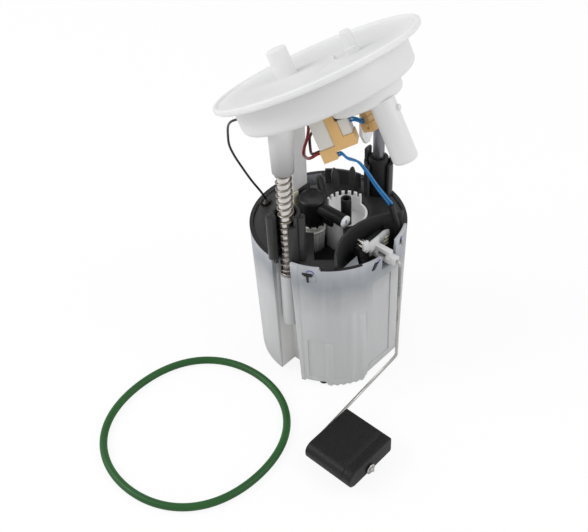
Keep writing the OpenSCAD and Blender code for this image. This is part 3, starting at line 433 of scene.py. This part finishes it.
def coilTree(samples, sides, closedPitch):
    tree, sizes, end = newTree("coilOnRod", ("Radius", "Turns", "Height", "Wire", "Closed"))

    def sums(operation, *terms):
        return compute(tree, operation, *terms)

    line = tree.nodes.new("GeometryNodeCurvePrimitiveLine")
    fine = tree.nodes.new("GeometryNodeResampleCurve")
    fine.inputs["Count"].default_value = samples
    tree.links.new(line.outputs["Curve"], fine.inputs["Curve"])
    along = tree.nodes.new("GeometryNodeSplineParameter").outputs["Factor"]
    turns, closed = sizes["Turns"], sizes["Closed"]
    turn = sums("MULTIPLY", along, turns)
    angle = sums("MULTIPLY", turn, math.tau)
    # low and high count the closed turns passed at each end, share is the way along the open ones
    low = sums("MINIMUM", turn, closed)
    high = sums("SUBTRACT", closed, sums("MINIMUM", sums("SUBTRACT", turns, turn), closed))
    pitch = sums("MULTIPLY", sizes["Wire"], closedPitch)
    twoEnds = sums("MULTIPLY", closed, 2.0)
    middle = sums("SUBTRACT", sums("SUBTRACT", turn, low), high)
    share = sums("DIVIDE", middle, sums("SUBTRACT", turns, twoEnds))
    rise = sums("SUBTRACT", sizes["Height"], sums("MULTIPLY", twoEnds, pitch))
    ends = sums("MULTIPLY", sums("ADD", low, high), pitch)
    place = tree.nodes.new("ShaderNodeCombineXYZ")
    feed(tree, place.inputs["X"], sums("MULTIPLY", sums("COSINE", angle), sizes["Radius"]))
    feed(tree, place.inputs["Y"], sums("MULTIPLY", sums("SINE", angle), sizes["Radius"]))
    feed(tree, place.inputs["Z"], sums("ADD", sums("MULTIPLY", share, rise), ends))
    put = tree.nodes.new("GeometryNodeSetPosition")
    tree.links.new(fine.outputs["Curve"], put.inputs["Geometry"])
    tree.links.new(place.outputs["Vector"], put.inputs["Position"])
    endTree(tree, sizes, end, tubeOn(tree, put.outputs["Geometry"], sizes["Wire"], sides))
    return tree


roundWire = wireTree(14)
softTurn = 50  # an edge sharper than this many degrees stays sharp on pieces made here


def addPiece(name, mesh):
    piece = bpy.data.objects.new(name, mesh)
    scene.collection.objects.link(piece)
    return piece


def growMesh(name, tree, values, seed=None):
    holder = addPiece(name + "Seed", seed or bpy.data.meshes.new(name + "Seed"))
    grower = holder.modifiers.new("grow", "NODES")
    grower.node_group = tree
    inputs = [s for s in tree.interface.items_tree if s.item_type == "SOCKET" and s.in_out == "INPUT"]
    sockets = {s.name: s.identifier for s in inputs}
    for label, value in values.items():
        grower[sockets[label]] = value
    evaluated = holder.evaluated_get(bpy.context.evaluated_depsgraph_get())
    grown = bpy.data.meshes.new_from_object(evaluated)
    holder.modifiers.clear()
    bpy.data.objects.remove(holder)
    shadeSmooth(grown, softTurn)
    return addPiece(name, grown)


def smoothRoute(points, perSpan=10):
    # a curve through all points, which are in millimetres
    p = [Vector(q) * mm for q in points]
    out = []
    for i in range(len(p) - 1):
        a, b, c, d = p[max(i - 1, 0)], p[i], p[i + 1], p[min(i + 2, len(p) - 1)]
        for k in range(perSpan):
            t = k / perSpan
            square = (2 * a - 5 * b + 4 * c - d) * t * t
            cube = (3 * b - a - 3 * c + d) * t ** 3
            out.append(0.5 * (2 * b + (c - a) * t + square + cube))
    return out + [p[-1]]


def routeMesh(name, routes, closed=False):
    verts, links = [], []
    for route in routes:
        first = len(verts)
        verts += route
        links += [(first + i, first + i + 1) for i in range(len(route) - 1)]
        if closed:
            links.append((len(verts) - 1, first))
    mesh = bpy.data.meshes.new(name)
    mesh.from_pydata(verts, links, [])
    return mesh


# Spring

spring = {"axis": (0.005, -0.050), "low": 0.11065, "height": 0.0925, "radius": 0.0054, "wire": 0.00068,
          "turns": 18.0, "closedTurns": 1.2, "closedPitch": 2.15, "samplesPerTurn": 36, "sides": 12}


def springCoil():
    samples = int(spring["turns"] * spring["samplesPerTurn"])
    tree = coilTree(samples, spring["sides"], spring["closedPitch"])
    coil = growMesh("springCoil", tree, {
        "Material": finishes["spring_steel"], "Radius": spring["radius"], "Turns": spring["turns"],
        "Height": spring["height"], "Wire": spring["wire"], "Closed": spring["closedTurns"]})
    x, y = spring["axis"]
    low, high = spring["low"], spring["low"] + spring["height"]
    coil.data.transform(Matrix.Translation((x, y, low)))
    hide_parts("spring")
    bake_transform(coil)


springCoil()
print("spring coiled")


# Leads, with routes in millimetres; a twin is a second lead, set off at both ends

leads = {
    "black_lead": {"finish": "black_wire", "radius": 0.0009, "bodies": ("flange_unit", "reservoir_unit"),
                   "route": [(-41.2, -41.5, 223.1), (-43, -43.1, 222), (-49, -44.5, 218), (-54.5, -43, 211),
                             (-58, -41, 201), (-60, -39, 190), (-60, -35, 178), (-58, -30, 165),
                             (-55, -25, 152), (-52, -19, 139), (-50, -16, 131)]},
    "blue_leads": {"finish": "blue_wire", "radius": 0.0008, "bodies": ("flange_unit", "reservoir_unit"),
                   "twin": ((0.9, 0, -1.6), (1.6, 1.3, 0.9)),
                   "route": [(35, -27.4, 219.9), (36.5, -25.9, 220.5), (38.4, -22.5, 215.5),
                             (39.2, -18, 211.8), (40, -12.5, 206.6), (41.2, -5.5, 194.8), (42.2, 0, 184),
                             (43.1, 6, 173), (44.1, 11.5, 163.4), (45, 16.8, 154)]},
    "jumper_leads": {"finish": "blue_wire", "radius": 0.0008, "bodies": ("flange_unit",),
                     "twin": ((-0.95, 0, 1.65), (-0.95, 0, 1.65)),
                     "route": [(35.4, -15.1, 239.2), (36.8, -13.8, 239.8), (38.2, -10.5, 238),
                               (38.4, -7.4, 235.2), (38.4, -4.7, 234.4)]},
    "lead_sleeve": {"finish": "black_rubber", "radius": 0.0022, "bodies": ("reservoir_unit",),
                    "route": [(45.8, 17.8, 153.9), (46.8, 20, 145), (47.8, 22, 136), (48, 23, 128),
                              (47.5, 23, 118), (46.5, 21, 110)]},
    "red_lead": {"finish": "red_wire", "radius": 0.0011, "bodies": ("flange_unit",),
                 "route": [(5, -24, 238.6), (6.2, -24.2, 236.6), (7, -25.3, 226), (6.2, -26, 218.5),
                           (3.8, -26.5, 210.5), (4, -28, 205.6), (8.5, -31, 206.5), (14.5, -34.5, 210.2),
                           (20, -37, 214.8), (23.6, -36.2, 218.4), (25.8, -34.1, 219.7)]},
    "brown_lead": {"finish": "brown_wire", "radius": 0.0010, "bodies": ("flange_unit",),
                   "route": [(9.3, -18, 241), (10.5, -18.2, 238.9), (9.4, -20.6, 227), (5.8, -22.6, 218.5),
                             (6.5, -24, 214.5), (10.2, -27.6, 213), (15, -32, 213.6), (19, -34, 215.6),
                             (21.3, -32.5, 217.1), (23.3, -30.6, 218.3)]},
}


def layLead(node, finish, radius, bodies, route, twin=None):
    path = smoothRoute(route)
    routes = [path]
    if twin:
        low, high = (Vector(shift) * mm for shift in twin)
        last = len(path) - 1
        routes.append([q + low * (1 - i / last) + high * (i / last) for i, q in enumerate(path)])
    sizes = {"Material": finishes[finish], "Radius": radius}
    piece = growMesh(node + "Wire", roundWire, sizes, routeMesh(node + "Path", routes))
    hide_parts(node)
    if len(bodies) == 2:
        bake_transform(piece)
    else:
        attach(piece, bodies[0])


for node, lead in leads.items():
    layLead(node, **lead)
print("leads laid")


# The cup's wall, which its details are laid on: a cone with a flat side towards +x

cup = {"rim": 0.060, "foot": 0.057, "height": 0.128, "middle": 0.058, "flat": 0.053, "flatTop": 0.115}


def wallRadius(turn, z):
    r = cup["foot"] + (cup["rim"] - cup["foot"]) * z / cup["height"]
    onFlat = z < cup["flatTop"] and math.cos(turn) > 0
    return min(r, cup["flat"] / math.cos(turn)) if onFlat else r


def closedPiece(name, verts, faces, finish, angle):
    mesh = bpy.data.meshes.new(name)
    mesh.from_pydata(verts, [], faces)
    shape = bmesh.new()
    shape.from_mesh(mesh)
    bmesh.ops.recalc_face_normals(shape, faces=shape.faces)
    shape.to_mesh(mesh)
    shape.free()
    shadeSmooth(mesh, angle)
    mesh.materials.append(finishes[finish])
    return addPiece(name, mesh)


def closeGrid(name, outer, inner, finish):
    # two grids of points, face to face, with a strip round their border
    rows, columns = len(outer), len(outer[0])
    verts = [p for row in outer + inner for p in row]
    half = rows * columns
    faces = []
    for i in range(rows - 1):
        for j in range(columns - 1):
            a = i * columns + j
            faces.append((a, a + 1, a + columns + 1, a + columns))
            faces.append((half + a, half + a + columns, half + a + columns + 1, half + a + 1))
    border = list(range(columns)) + [i * columns + columns - 1 for i in range(1, rows)]
    border += [(rows - 1) * columns + j for j in range(columns - 2, -1, -1)]
    border += [i * columns for i in range(rows - 2, 0, -1)]
    for k, a in enumerate(border):
        b = border[(k + 1) % len(border)]
        faces.append((a, half + a, half + b, b))
    piece = closedPiece(name, verts, faces, finish, softTurn)
    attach(piece, "reservoir_unit")


# Ribs, edges and hooks on the wall: heights in metres, foot and head in degrees round the cup.
# proud is how far a patch stands out, sunk how far it reaches in, slope the width of its border.

patchGrid = {"column": 2.0, "waveColumn": 0.6, "row": 0.006, "fewest": 4, "widestSlope": 0.45,
             "skirt": 0.00002, "wavePeriod": 5.3}
patches = {
    "channelEdge": {"finish": "cup_plastic", "low": 0.003, "high": 0.1304, "foot": (-73.2, -69.8),
                    "head": (-76.3, -70.4), "proud": 0.0003, "sunk": 0.0022},
    "footEdge": {"finish": "cup_plastic", "low": 0.0002, "high": 0.0075, "foot": (-51.5, -19.5),
                 "head": (-51.5, -19.5), "proud": 0.00025, "sunk": 0.0018, "wave": 0.0016},
    "frontRib": {"finish": "cup_plastic", "low": 0.0030, "high": 0.050, "foot": (-52.6, -45.6),
                 "head": (-52.4, -46.6), "proud": 0.0011, "slope": 0.0024},
    "stepRibLeft": {"finish": "cup_plastic", "low": 0.0030, "high": 0.084, "foot": (-34.0, -28.0),
                    "head": (-34.4, -28.6), "proud": 0.0010, "slope": 0.0022},
    "stepRibRight": {"finish": "cup_plastic", "low": 0.0030, "high": 0.081, "foot": (-24.0, -17.0),
                     "head": (-26.5, -19.5), "proud": 0.0010, "slope": 0.0022},
    "slotCover": {"finish": "cup_plastic", "low": 0.1172, "high": 0.1226, "foot": (-68.4, -57.6),
                  "head": (-68.4, -57.6), "proud": 0.0009, "slope": 0.0008},
    "hookBar": {"finish": "black_plastic", "low": 0.1229, "high": 0.1246, "foot": (-67.2, -59.4),
                "head": (-67.2, -59.4), "proud": 0.0010, "slope": 0.0003},
    "hookStem": {"finish": "black_plastic", "low": 0.1163, "high": 0.1232, "foot": (-63.9, -62.1),
                 "head": (-64.4, -61.8), "proud": 0.0012, "slope": 0.0003},
    "rimMark": {"finish": "black_plastic", "low": 0.1195, "high": 0.1262, "foot": (-17.0, -14.6),
                "head": (-14.6, -11.4), "proud": 0.0006, "slope": 0.0003},
    "finMark": {"finish": "black_plastic", "low": 0.1255, "high": 0.1292, "foot": (12.6, 14.6),
                "head": (13.4, 15.4), "proud": 0.0005, "slope": 0.0003},
}


def slopedSteps(count, share):
    # shares of a patch's width or height, with a sloped border at each end
    edge = min(patchGrid["widestSlope"], share)
    return [0.0] + [edge + (1 - 2 * edge) * k / count for k in range(count + 1)] + [1.0]


def wallPatch(name, finish, low, high, foot, head, proud, sunk=0.0003, slope=0.0006, wave=0.0):
    width = abs(head[1] - head[0])
    columns = max(patchGrid["fewest"], int(width / patchGrid["waveColumn" if wave else "column"]))
    rows = max(patchGrid["fewest"], int((high - low) / patchGrid["row"]))
    across = slopedSteps(columns, slope / (cup["middle"] * math.radians(width)))
    up = slopedSteps(rows, slope / (high - low))
    outer, inner = [], []
    for i, v in enumerate(up):
        start, end = foot[0] + (head[0] - foot[0]) * v, foot[1] + (head[1] - foot[1]) * v
        outerRow, innerRow = [], []
        for j, u in enumerate(across):
            turn = math.radians(start + (end - start) * u)
            scallop = 1 - abs(math.sin(math.pi * (end - start) * u / patchGrid["wavePeriod"]))
            z = low + (high - low) * v + wave * (1 - v) * scallop
            r = wallRadius(turn, z)
            within = 0 < i < len(up) - 1 and 0 < j < len(across) - 1
            raised = r + (proud if within else patchGrid["skirt"])
            outerRow.append((raised * math.cos(turn), raised * math.sin(turn), z))
            innerRow.append(((r - sunk) * math.cos(turn), (r - sunk) * math.sin(turn), z))
        outer.append(outerRow)
        inner.append(innerRow)
    closeGrid(name, outer, inner, finish)


# Ink strokes: turns are degrees round the cup with a height in metres, points are in millimetres

inkLine = {"proud": 0.0001, "perSpan": 6, "slot": "blue_wire"}
marks = {
    "hookArc": {"radius": 0.00030, "turns": ((-63.9, 0.1254), (-63.2, 0.1268), (-61.9, 0.1276),
                                             (-60.3, 0.1274), (-59.0, 0.1260), (-58.6, 0.1246))},
    "rimArc": {"radius": 0.00035, "turns": ((-12.2, 0.1240), (-11.4, 0.1252), (-10.8, 0.1268),
                                            (-9.8, 0.1270))},
    "finArc": {"radius": 0.00030, "turns": ((13.6, 0.1300), (14.6, 0.1312), (15.6, 0.1308))},
    "plugStroke": {"radius": 0.00045, "points": ((24.8, -7.7, 144.3), (24.8, -8.1, 142.9),
                                                 (24.8, -8.0, 141.4))},
}


def inkMark(name, radius, turns=(), points=()):
    points = list(points)
    for degrees, z in turns:
        turn = math.radians(degrees)
        r = wallRadius(turn, z) + inkLine["proud"]
        points.append((r * math.cos(turn) / mm, r * math.sin(turn) / mm, z / mm))
    seed = routeMesh(name + "Path", [smoothRoute(points, inkLine["perSpan"])])
    piece = growMesh(name, roundWire, {"Material": ink, "Radius": radius}, seed)
    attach(piece, "reservoir_unit")


# Thin black ring over the cup's rim, open at the channel and at the sender

rimRing = {"inner": 0.0572, "outer": 0.0599, "low": 0.12795, "high": 0.12825, "step": 3,
           "spans": ((-326, -94), (-54, -24))}


def coverRim():
    for k, (start, end) in enumerate(rimRing["spans"]):
        steps = int((end - start) / rimRing["step"])
        top, bottom = [], []
        for i in range(steps + 1):
            turn = math.radians(start + (end - start) * i / steps)
            for grid, z in ((top, rimRing["high"]), (bottom, rimRing["low"])):
                radii = (rimRing["inner"], rimRing["outer"])
                grid.append([(r * math.cos(turn), r * math.sin(turn), z) for r in radii])
        closeGrid("coverRim%d" % k, top, bottom, "black_plastic")


for name, patch in patches.items():
    wallPatch(name, **patch)
for name, mark in marks.items():
    inkMark(name, **mark)
coverRim()
print("wall details made")


# Float: well rounded on its -y side, with the seam as a groove round it.
# far and near are the corner radii on its -y and +y sides, end the radius at both ends.

floatBlock = {"x": (0.0735, 0.1168), "y": (-0.1130, -0.0650), "z": (0.0066, 0.0219), "far": 0.0065,
              "near": 0.0018, "cornerSteps": 8, "end": 0.0008, "endSteps": 4, "spans": 6,
              "seam": 0.109, "groove": 0.00025, "slit": 0.0001, "lip": 0.0004, "softTurn": 40}


def floatProfile(inset):
    (y0, y1), (z0, z1) = floatBlock["y"], floatBlock["z"]
    y0, y1, z0, z1 = y0 + inset, y1 - inset, z0 + inset, z1 - inset
    near, far, steps = floatBlock["near"], floatBlock["far"], floatBlock["cornerSteps"]
    out = []
    corners = ((y1, z1, near, 0), (y0, z1, far, 90), (y0, z0, far, 180), (y1, z0, near, 270))
    for y, z, radius, start in corners:
        cy = y - radius if y == y1 else y + radius
        cz = z - radius if z == z1 else z + radius
        for k in range(steps + 1):
            turn = math.radians(start + 90 * k / steps)
            out.append((cy + radius * math.cos(turn), cz + radius * math.sin(turn)))
    return out


def floatStations():
    # places along x, each with how far the profile is drawn in there
    (x0, x1), end, seam = floatBlock["x"], floatBlock["end"], floatBlock["seam"]
    slit, lip, groove = floatBlock["slit"], floatBlock["lip"], floatBlock["groove"]
    steps, spans = floatBlock["endSteps"], floatBlock["spans"]
    quarter = [math.pi / 2 * k / steps for k in range(steps + 1)]
    stations = [(x0 + end * (1 - math.cos(t)), end * (1 - math.sin(t))) for t in quarter]
    stations += [(x0 + (seam - x0) * k / spans, 0.0) for k in range(1, spans)]
    stations += [(seam - lip, 0.0), (seam - slit, groove), (seam + slit, groove), (seam + lip, 0.0)]
    return stations + [(x1 - end * (1 - math.sin(t)), end * (1 - math.cos(t))) for t in quarter]


def floatPiece():
    rings = [[(x, y, z) for y, z in floatProfile(inset)] for x, inset in floatStations()]
    verts = [p for loop in rings for p in loop]
    count = len(rings[0])
    last = len(verts) - count
    faces = []
    for first in range(0, last, count):
        for j in range(count):
            a, b = first + j, first + (j + 1) % count
            faces.append((a, b, b + count, a + count))
    faces.append(tuple(range(count - 1, -1, -1)))
    faces.append(tuple(range(last, last + count)))
    piece = closedPiece("floatShape", verts, faces, "float_foam", floatBlock["softTurn"])
    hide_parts("float")
    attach(piece, "float_block")


floatPiece()
print("float made")


# Sealing ring, which lies a little out of round: narrow presses it in along x and out along y,
# flat makes it a little square

ring = {"centre": (-0.0117, -0.1457), "radius": 0.0699, "narrow": 0.0018, "flat": 0.0009,
        "cord": 0.0030, "steps": 180, "sides": 28}


def layRing():
    x, y = ring["centre"]
    loop = []
    for i in range(ring["steps"]):
        turn = math.tau * i / ring["steps"]
        r = ring["radius"] - ring["narrow"] * math.cos(2 * turn) - ring["flat"] * math.cos(4 * turn)
        loop.append(Vector((x + r * math.cos(turn), y + r * math.sin(turn), ring["cord"])))
    sizes = {"Material": finishes["green_rubber"], "Radius": ring["cord"]}
    path = routeMesh("sealPath", [loop], closed=True)
    seal = growMesh("sealRing", wireTree(ring["sides"]), sizes, path)
    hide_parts("sealing_ring")
    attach(seal, "reservoir_unit")


layRing()
print("ring laid")


# Stage, light and camera

studio = {"floorSize": 6.0, "floorPaint": (0.86, 0.86, 0.86, 1), "white": (1, 1, 1, 1),
          "floorGlow": 0.88, "sky": 0.82}
lamps = {
    "leftLight": {"place": (-0.72, -0.80, 1.00), "target": (0, 0, 0.12), "size": 0.7, "power": 7.5},
    "rightLight": {"place": (1.00, 0.45, 1.05), "target": (0, 0, 0.15), "size": 0.8, "power": 5.2},
}
photoView = {"place": (0.3843, -0.4238, 0.6027), "target": (-0.0198, -0.0198, 0.0808), "roll": -3.3,
             "lens": 59.79, "sensor": 36.0, "clip": (0.01, 20.0)}


def whiteFloor():
    bpy.ops.mesh.primitive_plane_add(size=studio["floorSize"], location=(0, 0, 0))
    floor = bpy.context.object
    floor.name = "studioFloor"
    mat, tree, out = newMaterial("studioWhite")
    paint = tree.nodes.new("ShaderNodeBsdfDiffuse")
    paint.inputs["Color"].default_value = studio["floorPaint"]
    white = tree.nodes.new("ShaderNodeEmission")
    white.inputs["Color"].default_value = studio["white"]
    # to the camera the floor mostly glows white, so that shadows stay faint
    path = tree.nodes.new("ShaderNodeLightPath")
    seen = compute(tree, "MULTIPLY", path.outputs["Is Camera Ray"], studio["floorGlow"])
    mixShaders(tree, out, seen, paint.outputs["BSDF"], white.outputs["Emission"])
    floor.data.materials.append(mat)


def studioWorld():
    world = bpy.data.worlds.new("studio")
    scene.world = world
    world.use_nodes = True
    back = world.node_tree.nodes["Background"]
    back.inputs["Color"].default_value = studio["white"]
    back.inputs["Strength"].default_value = studio["sky"]


def softLight(name, place, target, size, power):
    lamp = bpy.data.lights.new(name, "AREA")
    lamp.shape = "SQUARE"
    lamp.size = size
    lamp.energy = power
    body = bpy.data.objects.new(name, lamp)
    scene.collection.objects.link(body)
    body.location = place
    body.rotation_mode = "QUATERNION"
    body.rotation_quaternion = (Vector(target) - Vector(place)).to_track_quat("-Z", "Y")


def placeCamera():
    place, target = Vector(photoView["place"]), Vector(photoView["target"])
    roll = math.radians(photoView["roll"])
    back = (place - target).normalized()
    right = Vector((0, 0, 1)).cross(back).normalized()
    up = back.cross(right)
    side = right * math.cos(roll) + up * math.sin(roll)
    top = -right * math.sin(roll) + up * math.cos(roll)
    lens = bpy.data.cameras.new("photoCamera")
    lens.lens = photoView["lens"]
    lens.sensor_width = photoView["sensor"]
    lens.clip_start, lens.clip_end = photoView["clip"]
    camera = bpy.data.objects.new("photoCamera", lens)
    scene.collection.objects.link(camera)
    turned = Matrix((side, top, back)).transposed().to_4x4()
    turned.translation = place
    camera.matrix_world = turned
    scene.camera = camera


whiteFloor()
studioWorld()
for name, lamp in lamps.items():
    softLight(name, **lamp)
placeCamera()
scene.view_settings.view_transform = "Standard"
print("stage set")
